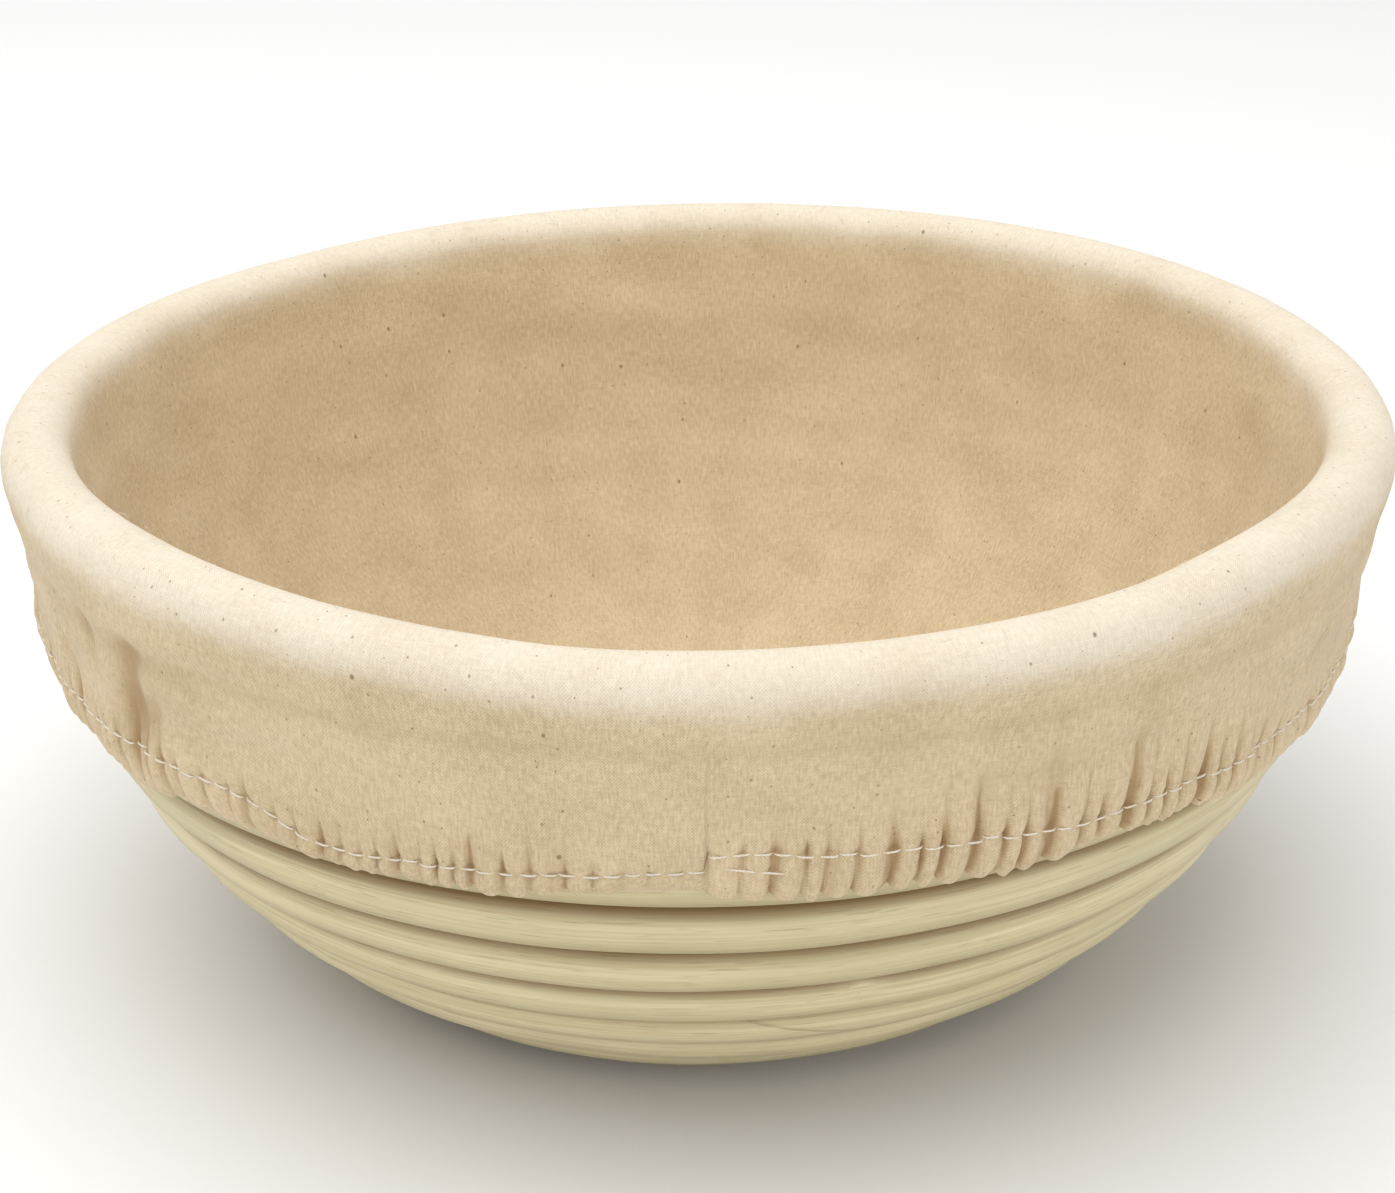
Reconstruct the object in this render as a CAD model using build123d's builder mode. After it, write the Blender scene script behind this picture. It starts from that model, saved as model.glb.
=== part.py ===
"""Round rattan proofing basket (banneton) with a lift-out cotton liner.

The bowl is one long right-handed spiral of round cane. It starts at the middle of the flat base, runs out
across the base, up the curved wall, and ends at the rim, where the last half turn is pared to a thin tail.
The spiral is made of five lengths, scarfed end to end, and fine steel brads pin each turn to the next.
The liner is a base disc and a band. The band goes up the inside of the wall, over the rim and down the
outside, where its folded hem holds an elastic.

Units are millimetres. The origin is the centre of the base underside, +Z is up and -Y is the front.
"""

import os
from math import cos, pi, radians, sin, tan

from build123d import *

os.makedirs("parts", exist_ok=True)

# ---- the bowl ----
RIM_DIAMETER = 245.0  # over the cane at the front of the rim
CANE_DIAMETER = 10.8
PITCH = 11.0  # from one turn to the next, along the wall
WALL_STRAIGHT = 20.0  # the top of the wall is straight, as far as this below the rim turn
WALL_LEAN = radians(11.5)  # of the straight part, from the vertical
WALL_RADIUS = 106.0  # the rest of the wall bends inwards
HEEL_LEAN = radians(53.0)  # of the wall where the tighter heel bend starts
HEEL_RADIUS = 27.0
BASE_FLAT = 0.25  # sanded off the underside of the base so that it stands without rocking

# ---- the cane ----
ARCS_PER_TURN = 12
BEND_SHARE = 0.49  # of a run of the spiral's polygon, used by the bend at each end of it
INNER_END = 177  # steps of the spiral, counted down from the front of the rim
BASE_SCARF = 115
LOWER_SCARF = 83
MIDDLE_SCARF = 54
UPPER_SCARF = 27
TAIL_START = -3
TAIL_END = -9
SCARF_LENGTH = 40.0
TAIL_RAISE = 0.3  # of the pared plane above the front of the rim

# ---- the brads ----
BRAD_DIAMETER = 1.4
BRAD_LENGTH = 15.5
BRAD_DEPTH = 4.5  # from a brad's top end down to the centre of the turn that it goes through
BRAD_SPACING = 5 / 24  # of a turn
FIRST_BRAD = -0.2
LAST_BRAD = 13.5
TAIL_BRADS = ((-0.62, -4), (-0.5, -0.8), (-0.37, 0))  # turns, and how far above the turn's centre a brad starts
TAIL_BRAD_LENGTH = 10.0

# ---- the liner ----
CLOTH = 0.7
WALL_GAP = 0.4  # between the cane and the cloth inside the bowl
SKIRT_GAP = 0.35  # between the cane and the hem outside it
ELASTIC_WIDTH = 4.8
ELASTIC_THICKNESS = 0.8
ELASTIC_PLAY = 0.05
CASING_HEIGHT = 7.0
HEM_EDGE = 2.95 * PITCH  # below the rim turn, along the wall
CREST_RISE = 0.35 * PITCH  # of the roll's middle above the front of the rim turn
THREAD = 0.4
THREAD_GAP = 0.05
SEAM_TOP = 2.0  # the side seam's stitches stop short of the roll and of the hem
SEAM_END = 1.5

# ---- worked out ----
CANE = CANE_DIAMETER / 2
WALL_BEND = WALL_RADIUS * (HEEL_LEAN - WALL_LEAN)
HEEL_BEND = HEEL_RADIUS * (pi / 2 - HEEL_LEAN)
HEEL = WALL_STRAIGHT + WALL_BEND
FLAT = HEEL + HEEL_BEND
BOWL_DEPTH = (
    WALL_STRAIGHT * cos(WALL_LEAN)
    + WALL_RADIUS * (sin(HEEL_LEAN) - sin(WALL_LEAN))
    + HEEL_RADIUS * (1 - sin(HEEL_LEAN))
)
RIM_RADIUS = RIM_DIAMETER / 2 - CANE
RIM_HEIGHT = BOWL_DEPTH + CANE - BASE_FLAT


def wall_point(down, out=0.0):
    """Radius and height at a distance down the wall's centre surface from the rim turn, and out from it."""
    r = RIM_RADIUS - min(down, WALL_STRAIGHT) * sin(WALL_LEAN)
    z = RIM_HEIGHT - min(down, WALL_STRAIGHT) * cos(WALL_LEAN)
    lean = WALL_LEAN
    for start, length, radius in ((WALL_STRAIGHT, WALL_BEND, WALL_RADIUS), (HEEL, HEEL_BEND, HEEL_RADIUS)):
        turned = lean + min(max(down - start, 0), length) / radius
        r += radius * (cos(turned) - cos(lean))
        z -= radius * (sin(turned) - sin(lean))
        lean = turned
    r -= max(down - FLAT, 0)
    return r + out * cos(lean), z - out * sin(lean)


def spiral_point(turns, spread=1.0):
    """The cane's centre, a number of turns down the spiral from the front of the rim."""
    r, z = wall_point(turns * PITCH)
    angle = -pi / 2 - 2 * pi * turns
    return Vector(spread * r * cos(angle), spread * r * sin(angle), z)


def corner(step):
    """A corner of the polygon whose runs the spiral touches at their middles."""
    return spiral_point(step / ARCS_PER_TURN, 1 / cos(pi / ARCS_PER_TURN))


def swept_cane(top, bottom):
    """Round cane from the middle of one run of the spiral's polygon to the middle of a lower run."""
    corners = [corner(step) for step in range(top, bottom + 2)]
    runs = [b - a for a, b in zip(corners, corners[1:])]
    bends = [
        BEND_SHARE * min(a.length, b.length) / tan(radians(a.get_angle(b)) / 2)
        for a, b in zip(runs, runs[1:])
    ]
    ends = (corners[0] + corners[1]) / 2, (corners[-2] + corners[-1]) / 2
    with BuildPart() as cane:
        with BuildLine() as route:
            FilletPolyline(ends[0], *corners[1:-1], ends[1], radius=bends)
        with BuildSketch(Plane(origin=route.line @ 0, z_dir=route.line % 0)):
            Circle(CANE)
        sweep()
    return cane.part


def down_wall(turns):
    """The direction down the wall, at a number of turns down the spiral."""
    return (spiral_point(turns + 1) - spiral_point(turns - 1)).normalized()


def scarf(step, keep):
    """One end of a scarf joint: Keep.BOTTOM is the upper length's end and Keep.TOP the lower length's."""
    start, end = corner(step), corner(step + 1)
    along = (end - start).normalized()
    across = down_wall((step + 0.5) / ARCS_PER_TURN)
    square = along * CANE_DIAMETER - across * SCARF_LENGTH
    with BuildPart() as half:
        add(swept_cane(step - 1, step + 1))
        split(bisect_by=Plane(origin=(start + end) / 2, z_dir=square), keep=keep)
    return half.part


def pared_tail():
    """The last half turn at the rim, pared down to one plane that leans over to the left."""
    slope = Vector(-PITCH / 4, 0, RIM_RADIUS)
    top = Vector(0, 0, RIM_HEIGHT + CANE + TAIL_RAISE)
    with BuildPart() as tail:
        add(swept_cane(TAIL_END, TAIL_START))
        split(bisect_by=Plane(origin=top, z_dir=slope), keep=Keep.BOTTOM)
    return tail.part


def save(part, name):
    part.label = name
    export_step(part, f"parts/{name}.step")


# ---- the five lengths of cane, from the rim down ----
with BuildPart() as rim_cane:
    add(pared_tail())
    add(swept_cane(TAIL_START, UPPER_SCARF - 1))
    add(scarf(UPPER_SCARF, Keep.BOTTOM))
save(rim_cane.part, "rim_cane")

with BuildPart() as upper_wall_cane:
    add(scarf(UPPER_SCARF, Keep.TOP))
    add(swept_cane(UPPER_SCARF + 1, MIDDLE_SCARF - 1))
    add(scarf(MIDDLE_SCARF, Keep.BOTTOM))
save(upper_wall_cane.part, "upper_wall_cane")

with BuildPart() as middle_wall_cane:
    add(scarf(MIDDLE_SCARF, Keep.TOP))
    add(swept_cane(MIDDLE_SCARF + 1, LOWER_SCARF - 1))
    add(scarf(LOWER_SCARF, Keep.BOTTOM))
save(middle_wall_cane.part, "middle_wall_cane")

with BuildPart() as lower_wall_cane:
    add(scarf(LOWER_SCARF, Keep.TOP))
    add(swept_cane(LOWER_SCARF + 1, BASE_SCARF - 1))
    add(scarf(BASE_SCARF, Keep.BOTTOM))
save(lower_wall_cane.part, "lower_wall_cane")

with BuildPart() as base_cane:
    add(scarf(BASE_SCARF, Keep.TOP))
    add(swept_cane(BASE_SCARF + 1, INNER_END))
    split(bisect_by=Plane.XY, keep=Keep.TOP)
save(base_cane.part, "base_cane")


# ---- the brads: each goes down through one turn and into the next ----
def brad_plane(turns, depth):
    """Where a brad starts, above the centre of its turn, pointing at the centre of the turn below."""
    centre = spiral_point(turns)
    down = (spiral_point(turns + 1) - centre).normalized()
    return Plane(origin=centre - down * depth, z_dir=down)


brad_count = int((LAST_BRAD - FIRST_BRAD) / BRAD_SPACING) + 1
with BuildPart() as cane_brads:
    for number in range(brad_count):
        with BuildSketch(brad_plane(FIRST_BRAD + number * BRAD_SPACING, BRAD_DEPTH)):
            Circle(BRAD_DIAMETER / 2)
    extrude(amount=BRAD_LENGTH)
    for turns, depth in TAIL_BRADS:
        with BuildSketch(brad_plane(turns, depth)):
            Circle(BRAD_DIAMETER / 2)
    extrude(amount=TAIL_BRAD_LENGTH)
save(cane_brads.part, "cane_brads")


# ---- the liner ----
INNER_FACE = -CANE - WALL_GAP  # the cloth's side of the wall, inside the bowl
LINING = CANE + SKIRT_GAP  # the hem's inner layer, next to the cane
ELASTIC = LINING + CLOTH + ELASTIC_PLAY
OUTER_FACE = ELASTIC + ELASTIC_THICKNESS + ELASTIC_PLAY  # the skirt's inner side
ROLL = (OUTER_FACE - INNER_FACE) / 2  # radius of the cloth's roll over the rim
ROLL_OUT = (OUTER_FACE + INNER_FACE) / 2
STITCH = CLOTH + THREAD_GAP + THREAD / 2  # from a cloth's near side to the middle of a thread on its far side
FRONT = Plane(origin=(0, 0, 0), x_dir=(0, -1, 0), z_dir=(-1, 0, 0))


def face(start, end, out):
    """The line of a surface that stays a distance out from the wall's centre surface."""
    stops = [start, WALL_STRAIGHT, HEEL, FLAT, end]
    ahead = sorted(stop for stop in stops if min(start, end) <= stop <= max(start, end))
    for a, b in zip(ahead, ahead[1:]):
        if b - a < 1e-6:
            continue
        if b <= WALL_STRAIGHT or a >= FLAT:
            Line(wall_point(a, out), wall_point(b, out))
        else:
            ThreePointArc(wall_point(a, out), wall_point((a + b) / 2, out), wall_point(b, out))


def roll(side, radius):
    """A quarter of the cloth's roll over the rim, from its top to the inside (-1) or the outside (1)."""
    slant = radius * sin(pi / 4)
    ThreePointArc(
        wall_point(-CREST_RISE - radius, ROLL_OUT),
        wall_point(-CREST_RISE - slant, ROLL_OUT + side * slant),
        wall_point(-CREST_RISE, ROLL_OUT + side * radius),
    )


base_radius, base_height = wall_point(FLAT, INNER_FACE)
with BuildPart() as liner_base:
    with BuildSketch(Plane.XY.offset(base_height)):
        Circle(base_radius)
    extrude(amount=CLOTH)
save(liner_base.part, "liner_base")

with BuildPart() as liner_wall:
    with BuildSketch(Plane.XZ):
        with BuildLine():
            roll(-1, ROLL)
            face(-CREST_RISE, FLAT, INNER_FACE)
            Line(wall_point(FLAT, INNER_FACE), wall_point(FLAT, INNER_FACE - CLOTH))
            face(-CREST_RISE, FLAT, INNER_FACE - CLOTH)
            roll(-1, ROLL + CLOTH)
            Line(
                wall_point(-CREST_RISE - ROLL, ROLL_OUT),
                wall_point(-CREST_RISE - ROLL - CLOTH, ROLL_OUT),
            )
        make_face()
    revolve(axis=Axis.Z)
save(liner_wall.part, "liner_wall")

with BuildPart() as liner_skirt:
    with BuildSketch(Plane.XZ):
        with BuildLine():
            roll(1, ROLL)
            face(-CREST_RISE, HEM_EDGE - CLOTH, OUTER_FACE)
            Line(wall_point(HEM_EDGE - CLOTH, OUTER_FACE), wall_point(HEM_EDGE - CLOTH, LINING + CLOTH))
            face(HEM_EDGE - CASING_HEIGHT, HEM_EDGE - CLOTH, LINING + CLOTH)
            Line(
                wall_point(HEM_EDGE - CASING_HEIGHT, LINING + CLOTH),
                wall_point(HEM_EDGE - CASING_HEIGHT, LINING),
            )
            face(HEM_EDGE - CASING_HEIGHT, HEM_EDGE, LINING)
            Line(wall_point(HEM_EDGE, LINING), wall_point(HEM_EDGE, OUTER_FACE + CLOTH))
            face(-CREST_RISE, HEM_EDGE, OUTER_FACE + CLOTH)
            roll(1, ROLL + CLOTH)
            Line(
                wall_point(-CREST_RISE - ROLL, ROLL_OUT),
                wall_point(-CREST_RISE - ROLL - CLOTH, ROLL_OUT),
            )
        make_face()
    revolve(axis=Axis.Z)
save(liner_skirt.part, "liner_skirt")

elastic_end = HEM_EDGE - CLOTH - (CASING_HEIGHT - CLOTH - ELASTIC_WIDTH) / 2
with BuildPart() as hem_elastic:
    with BuildSketch(Plane.XZ):
        with BuildLine():
            face(elastic_end - ELASTIC_WIDTH, elastic_end, ELASTIC)
            Line(wall_point(elastic_end, ELASTIC), wall_point(elastic_end, ELASTIC + ELASTIC_THICKNESS))
            face(elastic_end - ELASTIC_WIDTH, elastic_end, ELASTIC + ELASTIC_THICKNESS)
            Line(
                wall_point(elastic_end - ELASTIC_WIDTH, ELASTIC),
                wall_point(elastic_end - ELASTIC_WIDTH, ELASTIC + ELASTIC_THICKNESS),
            )
        make_face()
    revolve(axis=Axis.Z)
save(hem_elastic.part, "hem_elastic")


# ---- the liner's stitching ----
def stitch_ring(down, out):
    """A ring of thread round the liner."""
    r, z = wall_point(down, out)
    with BuildPart() as ring:
        with BuildSketch(Plane.XZ):
            with Locations((r, z)):
                Circle(THREAD / 2)
        revolve(axis=Axis.Z)
    return ring.part


save(stitch_ring(HEM_EDGE - CASING_HEIGHT + THREAD, OUTER_FACE + STITCH), "hem_stitching")
save(stitch_ring(FLAT - SEAM_END, INNER_FACE - STITCH), "base_seam_stitching")

with BuildPart() as side_seam_stitching:
    with BuildLine(FRONT) as seam:
        face(SEAM_TOP, HEM_EDGE - CASING_HEIGHT - SEAM_END, OUTER_FACE + STITCH)
    with BuildSketch(Plane(origin=seam.line @ 0, z_dir=seam.line % 0)):
        Circle(THREAD / 2)
    sweep()
save(side_seam_stitching.part, "side_seam_stitching")
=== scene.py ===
"""A round proofing basket of coiled cane.

Its cloth liner is folded over the rim and held by an elastic hem.
"""

import math

import bpy
import numpy as np
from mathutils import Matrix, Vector


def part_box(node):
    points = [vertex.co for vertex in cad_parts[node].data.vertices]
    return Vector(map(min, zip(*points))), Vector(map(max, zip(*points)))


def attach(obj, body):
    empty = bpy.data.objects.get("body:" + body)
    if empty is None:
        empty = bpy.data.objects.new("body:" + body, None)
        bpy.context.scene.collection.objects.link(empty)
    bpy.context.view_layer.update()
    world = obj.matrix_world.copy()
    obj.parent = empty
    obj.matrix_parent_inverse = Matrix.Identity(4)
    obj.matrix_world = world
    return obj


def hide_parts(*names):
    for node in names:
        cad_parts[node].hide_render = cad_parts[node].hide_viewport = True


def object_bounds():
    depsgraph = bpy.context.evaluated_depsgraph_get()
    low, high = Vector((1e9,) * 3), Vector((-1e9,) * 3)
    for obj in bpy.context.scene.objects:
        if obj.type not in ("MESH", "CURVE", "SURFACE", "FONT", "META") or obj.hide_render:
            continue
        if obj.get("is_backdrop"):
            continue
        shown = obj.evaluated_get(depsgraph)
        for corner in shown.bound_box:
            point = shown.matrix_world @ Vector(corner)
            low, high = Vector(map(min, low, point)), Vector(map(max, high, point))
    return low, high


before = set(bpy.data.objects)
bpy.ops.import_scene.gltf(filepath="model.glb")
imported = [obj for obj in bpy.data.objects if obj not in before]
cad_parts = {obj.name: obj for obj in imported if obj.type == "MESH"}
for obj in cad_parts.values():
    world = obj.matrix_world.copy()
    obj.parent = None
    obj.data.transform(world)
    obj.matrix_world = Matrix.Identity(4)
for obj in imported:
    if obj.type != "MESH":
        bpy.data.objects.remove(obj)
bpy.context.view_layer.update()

# ---------------------------------------------------------------- the basket's sizes, in metres

MM = 0.001
PITCH = 11 * MM
CANE = 5.4 * MM
RIM_RADIUS = 117.1 * MM
RIM_HEIGHT = 93.75 * MM
STRAIGHT = 20 * MM
RIM_LEAN = math.radians(11.5)
HEEL_LEAN = math.radians(53)
WALL_RADIUS = 106 * MM
HEEL_RADIUS = 27 * MM
HEEL = STRAIGHT + WALL_RADIUS * (HEEL_LEAN - RIM_LEAN)
FLAT = HEEL + HEEL_RADIUS * (math.pi / 2 - HEEL_LEAN)
BENDS = ((STRAIGHT, HEEL - STRAIGHT, WALL_RADIUS), (HEEL, FLAT - HEEL, HEEL_RADIUS))
TURN = 2 * math.pi
FRONT = -math.pi / 2
SEAM = math.radians(-89.3)

BASE_CLOTH_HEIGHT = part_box("liner_base")[1].z
BASE_CLOTH_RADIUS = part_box("liner_base")[1].x


def leaning(down):
    """How far the wall leans in, in radians, at a distance down it from the rim."""
    lean = RIM_LEAN
    for start, length, radius in BENDS:
        lean = lean + np.clip(down - start, 0, length) / radius
    return lean


def wall(down, out=0.0):
    """Radius and height of a point, from how far down the wall's middle it is and how far out from it."""
    down = np.asarray(down, float)
    r = RIM_RADIUS - np.minimum(down, STRAIGHT) * math.sin(RIM_LEAN)
    z = RIM_HEIGHT - np.minimum(down, STRAIGHT) * math.cos(RIM_LEAN)
    lean = RIM_LEAN
    for start, length, radius in BENDS:
        turned = lean + np.clip(down - start, 0, length) / radius
        r = r + radius * (np.cos(turned) - np.cos(lean))
        z = z - radius * (np.sin(turned) - np.sin(lean))
        lean = turned
    r = r - np.maximum(down - FLAT, 0)
    return r + out * np.cos(lean), z - out * np.sin(lean)


def on_wall(angle, down, out):
    """Points on the wall, from their angle round the basket, distance down it and distance out from it."""
    r, z = wall(down, out)
    return np.stack([r * np.cos(angle), r * np.sin(angle), z], -1)


def near(distance, width):
    """1 at no distance, and softly down to 0 by about twice the width."""
    return np.exp(-((distance / width) ** 2))


def ripple(place, seed, longest, octaves=3):
    """Smooth unevenness along a length, from about -1 to 1."""
    draw = np.random.default_rng(seed)
    total = np.zeros_like(place)
    for octave in range(octaves):
        length = longest / 2**octave * draw.uniform(0.8, 1.2)
        total = total + np.sin(TURN * (place / length + draw.random())) / 1.6**octave
    return total / 1.6


def ring_ripple(angle, seed, waves):
    """Smooth unevenness round the basket, from about -1 to 1, that closes on itself."""
    draw = np.random.default_rng(seed)
    total = np.zeros_like(angle)
    for count in waves:
        total = total + draw.uniform(0.5, 1) * np.sin(count * angle + TURN * draw.random())
    return total / len(waves) * 1.3


# ---------------------------------------------------------------- meshes


def new_mesh(name, points, faces):
    """A smooth-shaded mesh from its points and faces."""
    mesh = bpy.data.meshes.new(name)
    mesh.from_pydata(np.asarray(points).reshape(-1, 3).tolist(), [], faces)
    mesh.polygons.foreach_set("use_smooth", [True] * len(mesh.polygons))
    mesh.update()
    return mesh


def new_piece(mesh, finish, body, slot, *nodes):
    """Puts a mesh in the scene as a piece that moves with a body and stands for CAD nodes, if any."""
    piece = bpy.data.objects.new(mesh.name, mesh)
    bpy.context.scene.collection.objects.link(piece)
    mesh.materials.append(finish)
    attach(piece, body)
    if nodes:
        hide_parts(*nodes)
    return piece


def point_mark(mesh, name, values):
    """Stores a number or a vector on each point, for the finish to read."""
    values = np.asarray(values, np.float32)
    if values.ndim == 2:
        mesh.attributes.new(name, "FLOAT_VECTOR", "POINT").data.foreach_set("vector", values.ravel())
    else:
        mesh.attributes.new(name, "FLOAT", "POINT").data.foreach_set("value", values)


def lay_weave(mesh, along, up, full_turn=math.inf):
    """Stores where each corner lies on the flat cloth, in metres, with no jump after a full turn."""
    corner = np.empty(len(mesh.loops), np.int32)
    mesh.loops.foreach_get("vertex_index", corner)
    sides = np.empty(len(mesh.polygons), np.int32)
    mesh.polygons.foreach_get("loop_total", sides)
    u = np.asarray(along, float)[corner]
    furthest = np.maximum.reduceat(u, np.cumsum(sides) - sides)
    behind_the_join = np.repeat(furthest, sides) - u > full_turn / 2
    u = np.where(behind_the_join, u + full_turn, u)
    flat = np.stack([u, np.asarray(up, float)[corner], np.zeros(len(corner))], -1)
    mesh.attributes.new("cloth", "FLOAT_VECTOR", "CORNER").data.foreach_set(
        "vector", flat.astype(np.float32).ravel()
    )


def ring_faces(rows, columns, first=0):
    """Quads of a grid whose rows close on themselves."""
    row, column = np.meshgrid(np.arange(rows - 1), np.arange(columns), indexing="ij")
    beside = (column + 1) % columns
    here = first + row * columns
    quads = np.stack([here + column, here + beside, here + columns + beside, here + columns + column], -1)
    return quads.reshape(-1, 4).tolist()


def thread_mesh(name, runs, thickness, sides=6):
    """Short lengths of thread as one mesh. Each run is (points, the direction that is up from the cloth)."""
    points, faces = [], []
    for path, lift in runs:
        path = np.asarray(path, float)
        ahead = np.gradient(path, axis=0)
        ahead /= np.linalg.norm(ahead, axis=1)[:, None]
        across = np.cross(ahead, lift)
        across /= np.linalg.norm(across, axis=1)[:, None]
        upward = np.cross(across, ahead)
        share = np.linspace(-1, 1, len(path))
        radius = thickness / 2 * np.sqrt(np.clip(1.06 - share**4, 0.1, 1))
        first = len(points)
        for k in range(len(path)):
            for side in range(sides):
                turned = TURN * side / sides
                points.append(
                    path[k] + radius[k] * (math.cos(turned) * across[k] + math.sin(turned) * upward[k])
                )
        for k in range(len(path) - 1):
            for side in range(sides):
                beside = (side + 1) % sides
                here = first + k * sides
                faces.append([here + side, here + sides + side, here + sides + beside, here + beside])
        faces.append([first + side for side in range(sides)])
        faces.append([first + (len(path) - 1) * sides + side for side in range(sides)][::-1])
    return new_mesh(name, points, faces)


# ---------------------------------------------------------------- finishes


class Value:
    """A shader socket that takes part in Python sums."""

    def __init__(self, finish, socket):
        self.finish = finish
        self.socket = socket

    def output(self, name):
        """Another output of the node that this value comes from."""
        return Value(self.finish, self.socket.node.outputs[name])

    def math(self, operation, *terms):
        """A sum or product of values and numbers."""
        return self.finish.node("ShaderNodeMath", {"operation": operation}, dict(enumerate(terms)))

    def __add__(self, other):
        return self.math("ADD", self, other)

    def __sub__(self, other):
        return self.math("SUBTRACT", self, other)

    def __rsub__(self, other):
        return self.math("SUBTRACT", other, self)

    def __mul__(self, other):
        return self.math("MULTIPLY", self, other)

    def __pow__(self, other):
        return self.math("POWER", self, other)

    def __abs__(self):
        return self.math("ABSOLUTE", self)

    __radd__ = __add__
    __rmul__ = __mul__

    def wave(self):
        """A sine wave from -1 to 1."""
        return self.math("SINE", self)

    def ease(self, low, high):
        """0 below low and 1 above high, with a soft change between them."""
        return self.finish.node(
            "ShaderNodeMapRange", {"interpolation_type": "SMOOTHSTEP"}, {0: self, 1: low, 2: high}
        )


class Finish:
    """One material and the nodes that make it."""

    def __init__(self, name):
        self.material = bpy.data.materials.new(name)
        self.material.use_nodes = True
        self.tree = self.material.node_tree
        self.tree.nodes.clear()

    def node(self, kind, settings=None, inputs=None, output=0):
        """Adds one node: its settings first, then its sockets' values or links."""
        made = self.tree.nodes.new(kind)
        for name, setting in (settings or {}).items():
            setattr(made, name, setting)
        for name, given in (inputs or {}).items():
            if isinstance(given, Value):
                self.tree.links.new(given.socket, made.inputs[name])
            else:
                made.inputs[name].default_value = given
        return Value(self, made.outputs[output])

    def mark(self, name, output="Fac"):
        """What the mesh stores under a name."""
        return self.node("ShaderNodeAttribute", {"attribute_name": name}, output=output)

    def stretch(self, place, scale):
        """A place with its own scale along each axis."""
        return self.node("ShaderNodeVectorMath", {"operation": "MULTIPLY"}, {0: place, 1: scale})

    def apart(self, value, kind="XYZ"):
        """A vector or a colour taken apart; this is its first part."""
        return self.node(f"ShaderNodeSeparate{kind}", {}, {0: value})

    def grain(self, place, scale, detail=2.0, roughness=0.5):
        """Noise from 0 to 1, with its own scale along each axis, per metre."""
        stretched = self.stretch(place, scale)
        fineness = {"Scale": 1.0, "Detail": detail, "Roughness": roughness}
        return self.node("ShaderNodeTexNoise", {}, {"Vector": stretched, **fineness})

    def mix(self, share, first, second, blend="MIX"):
        """A colour between two others."""
        first, second = (c if isinstance(c, Value) else (*c, 1) for c in (first, second))
        return self.node(
            "ShaderNodeMix", {"data_type": "RGBA", "blend_type": blend}, {0: share, 6: first, 7: second}, 2
        )

    def relief(self, height, depth, strength=1.0):
        """Fine relief of a depth in metres."""
        return self.node("ShaderNodeBump", {}, {"Height": height, "Distance": depth, "Strength": strength})

    def done(self, **sockets):
        """Closes the material with its surface."""
        given = {name.replace("_", " "): value for name, value in sockets.items()}
        surface = self.node("ShaderNodeBsdfPrincipled", {}, given)
        end = self.tree.nodes.new("ShaderNodeOutputMaterial")
        self.tree.links.new(surface.socket, end.inputs["Surface"])
        return self.material


WARP_PITCH = 0.50 * MM
WEFT_PITCH = 0.54 * MM
# Seed specks, as (cells per metre, size of the largest in cells, how dark).
SPECKS = ((330, 0.10, 0.6), (70, 0.036, 0.75))


def calico_finish():
    """Unbleached plain-weave cotton: uneven threads, seed specks, painted shade down in the folds, and a
    painted highlight on the rim roll.
    """
    cloth = Finish("unbleached_calico")
    place = cloth.mark("cloth", "Vector")
    across = cloth.apart(place)
    upward = across.output(1)
    drift = cloth.grain(place, (160, 160, 1)) * 9
    warp = (across * (TURN / WARP_PITCH) + drift).wave()
    weft = (upward * (TURN / WEFT_PITCH) + drift).wave()
    weave = warp * weft
    upright = cloth.grain(place, (2800, 460, 1), 3)
    level = cloth.grain(place, (380, 2300, 1), 2)
    mottle = cloth.grain(place, (1150, 850, 1), 3)
    blotch = cloth.grain(place, (60, 60, 1), 3)
    slubs = cloth.grain(place, (1500, 90, 1), 1).ease(0.66, 0.8)
    threads = upright * 0.42 + level * 0.2 + mottle * 0.3 + blotch * 0.25 + weave * 0.09
    pale_threads = threads.ease(0.38, 0.80)
    tone = cloth.mix(pale_threads, (0.515, 0.395, 0.23), (0.765, 0.62, 0.415))
    tone = cloth.mix(slubs * 0.3, tone, (0.80, 0.69, 0.51))
    # Painted highlight: the cloth on and near the rim roll's crest is painted paler.
    painted_crest_highlight = cloth.mark("painted_crest_highlight")
    crest_highlight_tone = cloth.mix(pale_threads, (0.76, 0.67, 0.53), (0.87, 0.80, 0.67))
    tone = cloth.mix((painted_crest_highlight + (blotch - 0.5) * 0.5).ease(0.1, 1.1) * 0.8, tone, crest_highlight_tone)
    # Painted shade: a dark warm brown in pleat valleys, creases, hollows and seams.
    fold_shade = cloth.mark("fold_shade")
    tone = cloth.mix((fold_shade + (mottle - 0.5) * 0.3).ease(0.12, 0.95) * 0.85, tone, (0.37, 0.23, 0.10))
    for cells, largest, dark in SPECKS:
        spread = {"Vector": cloth.stretch(place, (cells, cells * 0.8, 1)), "Scale": 1.0}
        seed = cloth.node("ShaderNodeTexVoronoi", {"voronoi_dimensions": "2D"}, spread)
        size = cloth.apart(seed.output("Color"), "Color") ** 3 * largest
        speck = 1 - seed.ease(size * 0.4, size)
        tone = cloth.mix(speck * dark, tone, (0.20, 0.125, 0.06))
    height = weave * 0.35 + upright * 0.8 + level * 0.5 + mottle * 0.6 + slubs * 0.4
    return cloth.done(
        Base_Color=tone,
        Roughness=0.92,
        Specular_IOR_Level=0.25,
        Sheen_Weight=0.12,
        Sheen_Roughness=0.6,
        Normal=cloth.relief(height, 0.10 * MM, 0.7),
    )


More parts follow.
